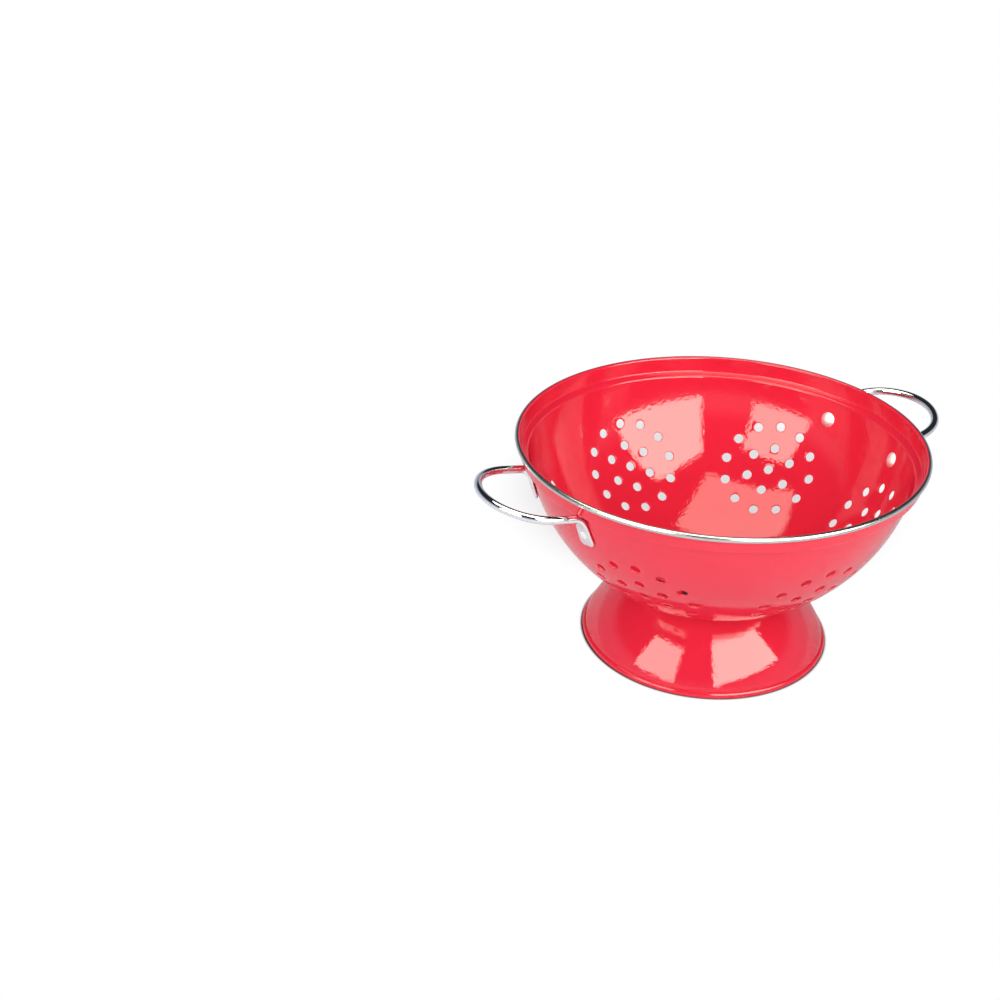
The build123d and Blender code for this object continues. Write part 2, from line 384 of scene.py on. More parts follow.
outer_end = -math.degrees(math.asin(drop / bowl_radius))
inner_end = -math.degrees(math.asin((middle_height - ledge_inside.y) / inside_radius))
outer = arc((0, middle_height), bowl_radius, -90, outer_end, wall_steps)
inner = arc((0, middle_height), inside_radius, inner_end, -90, wall_steps)
going_up = rounded(outer[-2], wall_top, collar_foot, ledge_fillet, 6)
going_up += rounded(wall_top, collar_foot, collar_top, collar_fillet, 5)
going_down = rounded(edge_inside, collar_inside, ledge_inside, collar_fillet, 5)
going_down += rounded(collar_inside, ledge_inside, inner[1], ledge_fillet, 6)
under_trim = trim_thickness + trim_room
bowl_outline = [p for p in outer if p.y < going_up[0].y - corner_gap] + going_up
bowl_outline += arc(edge_middle, edge_radius - under_trim, trim_end, trim_start, 20)
bowl_outline += arc(edge_middle, edge_radius, trim_start + bead_step, 180, 8)
bowl_outline += going_down + [p for p in inner if p.y < going_down[-1].y - corner_gap]
print("bowl outline:", len(bowl_outline), "points, rim", round(edge_middle.x + edge_radius, 2), "mm")

# %% [markdown]
# ## The rivets' places and the hole cutter
# The rivets' places are wanted twice, for holes and for rivets, so they are the loose points of a
# small mesh, measured from the middle of the ball. The cutter is a spool: a waist as wide as the
# hole, with a soft flare at each face, because enamel draws back to a rounded edge at a hole.

# %% Rivet places and cutter
hole_radius = 2.95
hole_softness = 0.35
# The flare ends in a lip that leaves the sheet's face, and the cutter's ends stand well clear
lip_run, lip_rise = 0.25, 0.045
cutter_reach = 3.0
flare_steps = 4
rivet_radius = 2.0
rivet_drop = 12.0
rivet_side = 32.3
tab_above = 7.5
wire_radius = 2.35
rivet_below = math.asin((drop + rivet_drop) / bowl_radius)
bend_below = rivet_below - tab_above / bowl_radius
rivet_turn = math.asin(rivet_side / ((bowl_radius + wire_radius) * math.cos(bend_below)))


def on_ball(turn, below, out=0.0):
    """Place on the wall: an angle round the ball, an angle below its middle, and how far out."""
    level = math.cos(below)
    way = Vector((level * math.cos(turn), level * math.sin(turn), -math.sin(below)))
    return way * (bowl_radius + out) + Vector((0, 0, middle_height))


rivet_turns = (rivet_turn, math.pi - rivet_turn, math.pi + rivet_turn, -rivet_turn)
ball_middle = Vector((0, 0, middle_height))
rivet_mesh = bpy.data.meshes.new("rivet_places")
rivet_ways = [on_ball(turn, rivet_below) - ball_middle for turn in rivet_turns]
rivet_mesh.from_pydata([way * mm for way in rivet_ways], [], [])
rivet_places = bpy.data.objects.new("rivet_places", rivet_mesh)


def spool(hole, soft_edge, reach, steps):
    """Outline of a cutter from its lower end to its upper one, with a flare at each face."""
    face = sheet / 2
    flare = arc((hole + soft_edge, face - soft_edge), soft_edge, 180, 100, steps)
    lip = Vector((hole + soft_edge + lip_run, face + lip_rise))
    upper = flare + [lip, Vector((lip.x, reach)), Vector((0, reach))]
    return [Vector((p.x, -p.y)) for p in reversed(upper)] + upper


cutter_mesh = line_mesh("cutter", spool(hole_radius, hole_softness, cutter_reach, flare_steps))
cutter = bpy.data.objects.new("cutter", cutter_mesh)
print("rivets", round(math.degrees(rivet_turn), 2), "degrees off the middle line")

# %% [markdown]
# ## The perforating tree
# A rosette is one hole, a ring of six and a ring of twelve. The tree lays those points out flat,
# bends them on to the ball, and copies the rosette six times round and once at the bottom. A
# cutter stands on every point and one cut takes them all out of the spun bowl.
#
# A cut leaves long thin faces, and their averaged normals would dent the reflections. So each
# face of the round wall is marked before the cut, and after it the marked faces get the ball's
# own normal, which is known exactly.

# %% Perforating tree: the round bowl and the places of its holes
inputs = {"Cutter": "Object", "Rivets": "Object", "Rivet Scale": "Float", "Steps": "Int"}
inputs |= {"Cutter Steps": "Int", "Crease": "Float", "Centre": "Vector", "Radius": "Float"}
inputs |= {"Ring One": "Float", "Ring Two": "Float", "Rosettes": "Int"}
inputs |= {"Rosette Angle": "Float", "Rosette Turn": "Float", "Finish": "Material"}
drill, given = new_tree("perforate", inputs)
skin = add(
    drill,
    "GeometryNodeGroup",
    {"node_tree": spin},
    {0: given["Geometry"], "Steps": given["Steps"], "Crease": given["Crease"]},
)
middle_hole = add(drill, "GeometryNodeMeshLine", {"Count": 1})
ring_one = add(drill, "GeometryNodeMeshCircle", {"Vertices": 6}, {"Radius": given["Ring One"]})
ring_two = add(drill, "GeometryNodeMeshCircle", {"Vertices": 12}, {"Radius": given["Ring Two"]})
flat = add(drill, "GeometryNodeJoinGeometry")
for part in (middle_hole, ring_one, ring_two):
    drill.links.new(part.outputs[0], flat.inputs[0])
position = add(drill, "GeometryNodeInputPosition")
far = add(drill, "ShaderNodeVectorMath", {"operation": "LENGTH"}, {0: position})
bend = maths(drill, "DIVIDE", far.outputs["Value"], given["Radius"])
hinge = add(drill, "ShaderNodeVectorMath", {"operation": "CROSS_PRODUCT", 1: (0, 0, 1)}, {0: position})
down = maths(drill, "MULTIPLY", given["Radius"], -1.0)
lowest = add(drill, "ShaderNodeCombineXYZ", {}, {"Z": down})
bent = add(
    drill,
    "ShaderNodeVectorRotate",
    {"rotation_type": "AXIS_ANGLE"},
    {"Vector": lowest, "Axis": hinge, "Angle": bend},
)
rosette = add(drill, "GeometryNodeSetPosition", {}, {0: flat, "Position": bent})

# %% Perforating tree: rosettes round the ball
starts = add(drill, "GeometryNodeMeshLine", {"Offset": (0, 0, 0)}, {"Count": given["Rosettes"]})
number = add(drill, "GeometryNodeInputIndex")
spacing = maths(drill, "DIVIDE", math.tau, given["Rosettes"])
around = maths(drill, "MULTIPLY_ADD", number, spacing, given["Rosette Turn"])
tilt = maths(drill, "MULTIPLY", given["Rosette Angle"], -1.0)
facing = add(drill, "ShaderNodeCombineXYZ", {}, {"Y": tilt, "Z": around})
copies = add(
    drill,
    "GeometryNodeInstanceOnPoints",
    {},
    {"Points": starts, "Instance": rosette, "Rotation": facing},
)
all_rosettes = add(drill, "GeometryNodeJoinGeometry")
for part in (copies, rosette):
    drill.links.new(part.outputs[0], all_rosettes.inputs[0])
drains = add(drill, "GeometryNodeRealizeInstances", {}, {0: all_rosettes})

# %% Perforating tree: cutters on every place
cutter_line = add(drill, "GeometryNodeObjectInfo", {}, {"Object": given["Cutter"]})
round_cutter = add(
    drill,
    "GeometryNodeGroup",
    {"node_tree": spin},
    {0: cutter_line.outputs["Geometry"], "Steps": given["Cutter Steps"], "Crease": given["Crease"]},
)
rivet_info = add(drill, "GeometryNodeObjectInfo", {}, {"Object": given["Rivets"]})
outward = add(drill, "FunctionNodeAlignRotationToVector", {"axis": "Z"}, {"Vector": position})
drain_cutters = add(
    drill,
    "GeometryNodeInstanceOnPoints",
    {},
    {"Points": drains, "Instance": round_cutter, "Rotation": outward},
)
rivet_cutters = add(
    drill,
    "GeometryNodeInstanceOnPoints",
    {},
    {
        "Points": rivet_info.outputs["Geometry"],
        "Instance": round_cutter,
        "Rotation": outward,
        "Scale": given["Rivet Scale"],
    },
)
all_cutters = add(drill, "GeometryNodeJoinGeometry")
for part in (drain_cutters, rivet_cutters):
    drill.links.new(part.outputs[0], all_cutters.inputs[0])
placed = add(
    drill,
    "GeometryNodeTransform",
    {},
    {"Geometry": all_cutters, "Translation": given["Centre"]},
)

# %% Perforating tree: the cut and the ball's own normals
arm = add(drill, "ShaderNodeVectorMath", {"operation": "SUBTRACT"}, {0: position, 1: given["Centre"]})
ray = add(drill, "ShaderNodeVectorMath", {"operation": "NORMALIZE"}, {0: arm})
normal = add(drill, "GeometryNodeInputNormal")
along = add(drill, "ShaderNodeVectorMath", {"operation": "DOT_PRODUCT"}, {0: ray, 1: normal})
side = maths(drill, "SIGN", along.outputs["Value"])
straight = maths(drill, "ABSOLUTE", along.outputs["Value"])
on_wall = maths(drill, "GREATER_THAN", straight, 0.9999)
wall = maths(drill, "MULTIPLY", side, on_wall)
marked = add(
    drill,
    "GeometryNodeStoreNamedAttribute",
    {"data_type": "FLOAT", "domain": "FACE", "Name": "wall"},
    {"Geometry": skin, "Value": wall},
)
drilled = add(
    drill,
    "GeometryNodeMeshBoolean",
    {"operation": "DIFFERENCE", "solver": "MANIFOLD"},
    {"Mesh 1": marked, "Mesh 2": placed},
)
smooth = add(drill, "GeometryNodeSetShadeSmooth", {}, {0: drilled.outputs["Mesh"]})
mark = add(drill, "GeometryNodeInputNamedAttribute", {"data_type": "FLOAT", "Name": "wall"})
ball_normal = add(
    drill,
    "ShaderNodeVectorMath",
    {"operation": "SCALE"},
    {0: ray, "Scale": mark.outputs["Attribute"]},
)
is_wall = maths(drill, "ABSOLUTE", mark.outputs["Attribute"])
chosen = add(
    drill,
    "GeometryNodeSwitch",
    {"input_type": "VECTOR"},
    {"Switch": is_wall, "False": normal, "True": ball_normal},
)
shaded = add(
    drill,
    "GeometryNodeSetMeshNormal",
    {"mode": "FREE", "domain": "CORNER"},
    {"Mesh": smooth, "Custom Normal": chosen},
)
finish_tree(drill, shaded, given["Finish"])
print("perforating tree:", len(drill.nodes), "nodes")

# %% Grow the bowl
ring_one_reach = 14.3
ring_two_reach = 28.8
rosette_count = 6
rosette_angle = math.radians(52.4)
rosette_turn = math.radians(32.6)
bowl_turn_steps = 200
cutter_turn_steps = 24
# The flat faces of the spun wall lie about this far inside the true ball
chord_sag = 0.04
bowl = grow("enamelled_bowl", line_mesh("bowl_outline", bowl_outline), drill, {
    "Cutter": cutter,
    "Rivets": rivet_places,
    "Rivet Scale": rivet_radius / hole_radius,
    "Steps": bowl_turn_steps,
    "Cutter Steps": cutter_turn_steps,
    "Crease": crease,
    "Centre": ball_middle * mm,
    "Radius": (bowl_radius - sheet / 2 - chord_sag) * mm,
    "Ring One": ring_one_reach * mm,
    "Ring Two": ring_two_reach * mm,
    "Rosettes": rosette_count,
    "Rosette Angle": rosette_angle,
    "Rosette Turn": rosette_turn,
    "Finish": red_enamel,
})
bpy.data.objects.remove(cutter)
settle(bowl, "red_coating", "bowl")

# %% [markdown]
# ## The steel trim
# A strip of stainless steel is rolled over the bead and grips it from the top round to below. Its
# outline is a thin open ring, and it is spun like the bowl.

# %% Steel trim
fine_turn_steps = 240
trim_outline = arc(edge_middle, edge_radius, trim_end, trim_start, 36)
trim_outline += arc(edge_middle, edge_radius - trim_thickness, trim_start, trim_end, 24)
trim_outline.append(trim_outline[0])
trim = grow("rolled_trim", line_mesh("trim_outline", trim_outline), turning, {
    "Steps": fine_turn_steps,
    "Crease": crease,
    "Finish": rolled_steel,
})
settle(trim, "trim_steel", "rim_trim")

# %% [markdown]
# ## The foot
# The foot is one flared sheet. From the bowl it sweeps down and out in a long curve to a soft
# shoulder, drops as a short skirt that leans out, and ends in a rolled edge with a narrow flat
# that stands on the table. The flare is a smooth curve through nine measured points.

# %% Foot outline
foot_radius = 75.4
neck_radius = 47.5
roll_radius = 2.2
rest_width = 1.6
skirt_height = 6.5
skirt_inset = 2.35
skirt_lean = math.radians(13.0)
shoulder_fillet = 1.2
inner_fillet = 0.5
flare_points = 48
# Room between the foot's inside and the ball, and how near a corner a point may lie
ball_room = 0.05
point_gap = 0.3
# Shares of the flare's height and of its spread
flare_shares = (
    (0.000, 1.000),
    (0.110, 0.929),
    (0.268, 0.810),
    (0.426, 0.669),
    (0.552, 0.542),
    (0.647, 0.438),
    (0.773, 0.290),
    (0.899, 0.132),
    (1.000, 0.000),
)
neck = Vector((neck_radius, middle_height - math.sqrt(bowl_radius**2 - neck_radius**2)))
shoulder = Vector((foot_radius - skirt_inset, skirt_height))
spread = shoulder.x - neck.x
rise = neck.y - shoulder.y
flare = [Vector((neck.x + s * spread, shoulder.y + r * rise)) for r, s in flare_shares]


def smooth_curve(points, steps):
    """Points of the smoothest cubic curve through given points, by their chord lengths."""
    places = np.array(points)
    knots = np.concatenate(([0], np.cumsum(np.linalg.norm(np.diff(places, axis=0), axis=1))))
    gaps = np.diff(knots)
    count = len(places)
    system = np.eye(count)
    wanted = np.zeros((count, 2))
    for k in range(1, count - 1):
        system[k, k - 1 : k + 2] = gaps[k - 1], 2 * (gaps[k - 1] + gaps[k]), gaps[k]
        slopes = (places[k + 1] - places[k]) / gaps[k] - (places[k] - places[k - 1]) / gaps[k - 1]
        wanted[k] = 6 * slopes
    bends = np.linalg.solve(system, wanted)
    found = []
    for value in np.linspace(0, knots[-1], steps + 1):
        k = min(int(np.searchsorted(knots, value, "right")) - 1, count - 2)
        gap = gaps[k]
        after = (value - knots[k]) / gap
        before = 1 - after
        place = before * places[k] + after * places[k + 1]
        place += (before**3 - before) * bends[k] * gap**2 / 6
        place += (after**3 - after) * bends[k + 1] * gap**2 / 6
        found.append(Vector(place))
    return found


flare_out = smooth_curve([tuple(p) for p in flare], flare_points)
flare_in = []
for k, point in enumerate(flare_out):
    way = flare_out[min(k + 1, flare_points)] - flare_out[max(k - 1, 0)]
    flare_in.append(point - Vector((way.y, -way.x)).normalized() * sheet)
roll_height = math.sqrt(roll_radius**2 - (rest_width / 2) ** 2)
roll_middle = Vector((foot_radius - roll_radius, roll_height))
skirt_drop = shoulder.y - roll_height
skirt_foot = shoulder + Vector((skirt_drop * math.tan(skirt_lean), -skirt_drop))


def reaches_roll(start, end):
    """Where a straight way first comes to the roll, and the angle of that place on it."""
    for k in range(1001):
        point = start.lerp(end, k / 1000)
        if (point - roll_middle).length <= roll_radius:
            break
    away = point - roll_middle
    return point, math.degrees(math.atan2(away.y, away.x))


outer_meet, outer_angle = reaches_roll(shoulder, skirt_foot)
inner_meet, inner_angle = reaches_roll(flare_in[0], skirt_foot - Vector((sheet, 0)))
flat_angle = math.degrees(math.asin(roll_height / roll_radius))
foot_outline = arc(roll_middle, roll_radius, -flat_angle, outer_angle, 16)
foot_outline += rounded(outer_meet, shoulder, flare_out[3], shoulder_fillet, 6)
foot_outline += [p for p in flare_out if p.y > foot_outline[-1].y + point_gap]
round_middle = Vector((0, middle_height))
inside = [p for p in flare_in if (p - round_middle).length > bowl_radius + ball_room]
neck_angle = math.degrees(math.atan2(neck.x, middle_height - neck.y)) - 90
top_angle = math.degrees(math.atan2(inside[-1].x, middle_height - inside[-1].y)) - 90
foot_outline += arc((0, middle_height), bowl_radius, neck_angle, top_angle, 3)[1:]
turn_down = rounded(flare_in[3], flare_in[0], inner_meet, inner_fillet, 4)
foot_outline += [p for p in reversed(inside[:-1]) if p.y > turn_down[0].y + point_gap]
foot_outline += turn_down + arc(roll_middle, roll_radius, inner_angle, 180 + flat_angle, 14)
foot_outline.append(foot_outline[0])
print("foot outline:", len(foot_outline), "points")

# %% Grow the foot
foot = grow("flared_foot", line_mesh("foot_outline", foot_outline), turning, {
    "Steps": fine_turn_steps,
    "Crease": crease,
    "Finish": red_enamel,
})
settle(foot, "red_coating", "foot")

# %% [markdown]
# ## The handles
# Each handle is one wire: round in the loop, bent down where it meets the bowl, and hammered flat
# where it lies on the wall and takes a rivet. Curve to Mesh keeps one section all along, so the
# sweeping tree is a tree of its own. Each point of the path carries the half width and half
# thickness of the wire there, how square its section is, and how far it lies on the wall.

# %% Sweeping tree: frames along the path
inputs = {"Ring Steps": "Int", "Centre": "Vector", "Loop Normal": "Vector", "Finish": "Material"}
sweep, given = new_tree("sweep", inputs)
path_size = add(sweep, "GeometryNodeAttributeDomainSize", {}, {0: given["Geometry"]})
rows = maths(sweep, "ADD", given["Ring Steps"], 1.0)
grid = add(sweep, "GeometryNodeMeshGrid", {}, {"Vertices X": path_size, "Vertices Y": rows})
index = add(sweep, "GeometryNodeInputIndex")
ratio = maths(sweep, "DIVIDE", index, rows)
station = maths(sweep, "FLOOR", ratio)
step = maths(sweep, "MODULO", index, rows)
position = add(sweep, "GeometryNodeInputPosition")


def at_station(value, number, data_type="FLOAT"):
    """Value of the path at a numbered point of it."""
    settings = {"data_type": data_type, "clamp": True}
    links = {"Geometry": given["Geometry"], "Value": value, "Index": number}
    return add(sweep, "GeometryNodeSampleIndex", settings, links)


def carried(name):
    """Named value that each point of the path carries."""
    named = add(sweep, "GeometryNodeInputNamedAttribute", {"data_type": "FLOAT", "Name": name})
    return at_station(named.outputs["Attribute"], station)


def vector(operation, first, second):
    """Vector sum of two sockets; the factor of a scaling goes in as the second."""
    second_name = "Scale" if operation == "SCALE" else 1
    found = add(sweep, "ShaderNodeVectorMath", {"operation": operation}, {0: first, second_name: second})
    return found


def unit(value):
    return add(sweep, "ShaderNodeVectorMath", {"operation": "NORMALIZE"}, {0: value})


here = at_station(position, station, "FLOAT_VECTOR")
later = maths(sweep, "ADD", station, 1.0)
sooner = maths(sweep, "SUBTRACT", station, 1.0)
ahead_place = at_station(position, later, "FLOAT_VECTOR")
behind_place = at_station(position, sooner, "FLOAT_VECTOR")
along = unit(vector("SUBTRACT", ahead_place, behind_place))
inward = unit(vector("SUBTRACT", given["Centre"], here))
lying = add(
    sweep,
    "ShaderNodeMix",
    {"data_type": "VECTOR"},
    {0: carried("lying"), 4: given["Loop Normal"], 5: inward},
)
across = unit(vector("CROSS_PRODUCT", along, lying.outputs[1]))
outwards = vector("CROSS_PRODUCT", across, along)

# %% Sweeping tree: the section at each point
part_turn = maths(sweep, "DIVIDE", step, given["Ring Steps"])
turn = maths(sweep, "MULTIPLY", part_turn, math.tau)
square = carried("square")


def section(function, half_size):
    """One coordinate of the section: a circle's, pressed towards a box's by the power."""
    wave = maths(sweep, function, turn)
    size = maths(sweep, "ABSOLUTE", wave)
    pressed = maths(sweep, "POWER", size, square)
    side = maths(sweep, "SIGN", wave)
    signed = maths(sweep, "MULTIPLY", pressed, side)
    sized = maths(sweep, "MULTIPLY", signed, half_size)
    return sized


sideways = vector("SCALE", across, section("COSINE", carried("half_width")))
upwards = vector("SCALE", outwards, section("SINE", carried("half_thickness")))
ring_place = vector("ADD", here, vector("ADD", sideways, upwards))
swept = add(sweep, "GeometryNodeSetPosition", {}, {0: grid, "Position": ring_place})
welded = add(sweep, "GeometryNodeMergeByDistance", {"Distance": 0.002 * mm}, {0: swept})
soft = add(sweep, "GeometryNodeSetShadeSmooth", {}, {0: welded})
finish_tree(sweep, soft, given["Finish"])
print("sweeping tree:", len(sweep.nodes), "nodes")

# %% Path of a handle
handle_tilt = math.radians(10.4)
handle_rise = 4.5
handle_bend = 4.2
corner_side = 6.3
nose_gap = 10.0
tab_below = 8.0
tab_half_width = 5.15
tab_half_thickness = 1.0
# The flat is full wide up to a little above the rivet, and narrows slightly on the way
flat_above = 2.6
tab_taper = 0.45
neck_half_width = tab_half_width - tab_taper
# Its end closes over a short length, in a curve between a circle and a box
tip_length = 4.0
tip_power = 2.6
tip_thin, tip_growth = 0.55, 0.9
# Power of the flat's section: 1 is an ellipse, 0 a box
flat_power = 0.42
# How strongly the bend is drawn up the wall and back along the loop
wall_pull, loop_pull = 5.2, 4.2
tip_steps = flat_steps = 8
bend_steps = 24
bend_place = on_ball(rivet_turn, bend_below, wire_radius)
loop_start = Vector((bend_place.x + handle_bend, 0, bend_place.z + handle_rise))
loop_way = Vector((math.cos(handle_tilt), 0, math.sin(handle_tilt)))
loop_normal = Vector((-math.sin(handle_tilt), 0, math.cos(handle_tilt)))


def half_path(reach, splay):
    """Points of half a handle, from the end of its flat to the middle of its nose, each with its
    half width, half thickness, section power and lying share."""
    found = []
    tip = rivet_below + tab_below / bowl_radius
    top = rivet_below - flat_above / bowl_radius

    def on_tab(below):
        side = splay * (below - rivet_below) / math.cos(rivet_below)
        return on_ball(rivet_turn + side, below, tab_half_thickness)

    # The blunt round end
    for k in range(tip_steps + 1):
        share = math.sin(math.pi / 2 * k / tip_steps)
        close = (1 - (1 - share) ** tip_power) ** (1 / tip_power) if k else 0.0
        thin = min(1.0, tip_thin + tip_growth * share) if k else 0.0
        width, thick = tab_half_width * close, tab_half_thickness * thin
        found.append((on_tab(tip - share * tip_length / bowl_radius), width, thick, flat_power, 1.0))
    # The flat
    middle = tip - tip_length / bowl_radius
    for k in range(1, flat_steps + 1):
        share = k / flat_steps
        below = middle + (top - middle) * share
        width = tab_half_width - tab_taper * share
        found.append((on_tab(below), width, tab_half_thickness, flat_power, 1.0))
    # The bend, from flat to round
    flat_top = on_tab(top)
    up_the_wall = (on_tab(top - 0.01) - flat_top).normalized()
    leg_start = loop_start + Vector((0, rivet_side, 0))
    pulls = flat_top + up_the_wall * wall_pull, leg_start - loop_way * loop_pull
    bend = interpolate_bezier(flat_top, *pulls, leg_start, bend_steps + 1)
    for k in range(1, bend_steps + 1):
        share = k / bend_steps
        eased = share * share * (3 - 2 * share)
        width = (1 - eased) * neck_half_width + eased * wire_radius
        thick = (1 - eased) * tab_half_thickness + eased * wire_radius
        power = (1 - eased) * flat_power + eased
        found.append((bend[k], width, thick, power, 1 - eased))
    # The loop, round wire
    corner_radius = rivet_side - corner_side
    nose_radius = corner_radius + nose_gap
    nose_middle = reach - nose_radius
    corner_along = math.sqrt(nose_gap**2 - corner_side**2)
    leg_end = nose_middle + corner_along
    split = math.degrees(math.atan2(corner_side, corner_along))
    plan = [Vector((leg_end * k / 6, rivet_side)) for k in range(1, 7) if leg_end > 0]
    plan += arc((leg_end, corner_side), corner_radius, 90, split, 22)[1:]
    plan += arc((nose_middle, 0), nose_radius, split, 0, 12)[1:]
    for p in plan:
        place = loop_start + loop_way * p.x + Vector((0, p.y, 0))
        found.append((place, wire_radius, wire_radius, 1.0, 0.0))
    return found


def handle_seed(name, side, reach, splay):
    """Seed of a handle: its whole path, on the side of +X or of -X."""
    half = half_path(reach, splay)
    whole = half + [(Vector((p.x, -p.y, p.z)), *rest) for p, *rest in reversed(half[:-1])]
    places = [Vector((side * p.x, p.y, p.z)) for p, *rest in whole]
    names = ("half_width", "half_thickness", "square", "lying")
    scales = (mm, mm, 1, 1)
    values = {n: [row[k + 1] * s for row in whole] for k, (n, s) in enumerate(zip(names, scales))}
    return line_mesh(name, places, **values)


# %% Grow the handles
tab_splay = math.radians(9)
wire_turn_steps = 28
# Side of each handle and reach of its loop. The left one was bent a little longer.
handles = {"right_handle": (1, 36.9), "left_handle": (-1, 39.2)}
for node, (side, reach) in handles.items():
    seed = handle_seed(node + "_path", side, reach, tab_splay)
    normal_way = Vector((side * loop_normal.x, 0, loop_normal.z))
    wire = grow("chromed_" + node, seed, sweep, {
        "Ring Steps": wire_turn_steps,
        "Centre": ball_middle * mm,
        "Loop Normal": normal_way,
        "Finish": chrome_plate,
    })
    settle(wire, "handle_chrome", node)

# %% [markdown]
# ## The rivets
# Four solid rivets hold the handles. Each has a broad low dome inside the bowl and a small tail
# pressed flat outside. One outline is spun once, and a copy stands on each rivet place.

# %% Riveting tree
inputs = {"Places": "Object", "Steps": "Int", "Crease": "Float"}
inputs |= {"Centre": "Vector", "Finish": "Material"}
riveting, given = new_tree("riveting", inputs)
one_rivet = add(
    riveting,
    "GeometryNodeGroup",
    {"node_tree": spin},
    {0: given["Geometry"], "Steps": given["Steps"], "Crease": given["Crease"]},
)
places = add(riveting, "GeometryNodeObjectInfo", {}, {"Object": given["Places"]})
position = add(riveting, "GeometryNodeInputPosition")
outward = add(riveting, "FunctionNodeAlignRotationToVector", {"axis": "Z"}, {"Vector": position})
four = add(
    riveting,
    "GeometryNodeInstanceOnPoints",
    {},
    {
        "Points": places.outputs["Geometry"],
        "Instance": one_rivet,
        "Rotation": outward,
    },
)
set_in = add(riveting, "GeometryNodeTransform", {}, {"Geometry": four, "Translation": given["Centre"]})
finish_tree(riveting, set_in, given["Finish"])

# %% Rivet outline and the four rivets
head_radius, head_height = 4.7, 2.2
tail_radius, tail_height = 2.5, 0.5
tail_sink = 0.03
rivet_turn_steps = 32
tab_outside = 2 * tab_half_thickness


def dome(across, base, height, steps):
    """Points of a low dome's outline, from its edge to its top, up or down."""
    big = (across**2 + height**2) / (2 * abs(height))
    wide = math.degrees(math.asin(across / big))
    side = 1 if height > 0 else -1
    centre = Vector((0, base + height - side * big))
    return arc(centre, big, side * (90 - wide), side * 90, steps)


def seat(ball, across):
    """Height of a ball's surface over the rivet's place, some way off the rivet's axis."""
    return math.sqrt(ball**2 - across**2) - bowl_radius


head_seat = seat(inside_radius, head_radius)
head = dome(head_radius, head_seat, -sheet - head_height - head_seat, 9)
rivet_outline = list(reversed(head)) + [
    Vector((head_radius, head_seat)),
    Vector((rivet_radius, seat(inside_radius, rivet_radius))),
    Vector((rivet_radius, tab_outside)),
    Vector((tail_radius, tab_outside - tail_sink)),
]
rivet_outline += dome(tail_radius, tab_outside - tail_sink, tail_height + tail_sink, 6)
rivets = grow("four_rivets", line_mesh("rivet_outline", rivet_outline), riveting, {
    "Places": rivet_places,
    "Steps": rivet_turn_steps,
    "Crease": crease,
    "Centre": ball_middle * mm,
    "Finish": tumbled_steel,
})
bpy.data.objects.remove(rivet_places)
rivet_nodes = [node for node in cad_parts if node.startswith("rivet_")]
settle(rivets, "rivet_steel", *rivet_nodes)
print("rivets stand for", rivet_nodes)

# %% [markdown]
# ## The camera
# The camera stands in front of the bowl, about 0.9 m away, and looks down by 29 degrees. The bowl
# is turned in front of it, so its place is written in the room's own directions and turned.

# %% Camera
pitch, roll = math.radians(28.76), math.radians(0.64)
room_turn = math.radians(-26.0)
lens_length = 50.14
room = Matrix.Rotation(room_turn, 4, "Z")
ahead = Vector((0, math.cos(pitch), -math.sin(pitch)))
aside, above = Vector((1, 0, 0)), Vector((0, math.sin(pitch), math.cos(pitch)))
right = aside * math.cos(roll) + above * math.sin(roll)
up = above * math.cos(roll) - aside * math.sin(roll)
lens_data = bpy.data.cameras.new("camera")
lens_data.sensor_fit = "HORIZONTAL"
lens_data.sensor_width = 36
lens_data.lens = lens_length
camera = bpy.data.objects.new("camera", lens_data)
camera_place = Vector((-128.16, -731.23, 491.36)) * mm
facing = Matrix((right, up, -ahead)).transposed().to_4x4()
camera.matrix_world = room @ Matrix.Translation(camera_place) @ facing
scene.collection.objects.link(camera)
scene.camera = camera
print("camera", round(camera_place.length, 2), "m away")

# %% [markdown]
# ## Lamps
# Two tall softboxes stand left and right of the camera, and a large cloth hangs above. Enamel and
# chrome show them as clear bright patches, while the colours need only plain light. So each lamp
# is two things in one place: an area light that glossy surfaces don't show, and a glowing cloth
# that only they show.

# %% Lamps


def cloth_finish(name, strength):
    """A white cloth that glows on the side of its normal."""
    made, tree = empty_material(name)
    glow = add(tree, "ShaderNodeEmission", {"Color": linear("#FFFBED"), "Strength": strength})
    behind = add(tree, "ShaderNodeNewGeometry").outputs["Backfacing"]
    nothing = add(tree, "ShaderNodeBsdfTransparent")
    one_sided = add(tree, "ShaderNodeMixShader", {}, {0: behind, 1: glow, 2: nothing})
    add(tree, "ShaderNodeOutputMaterial", links={"Surface": one_sided})
    return made


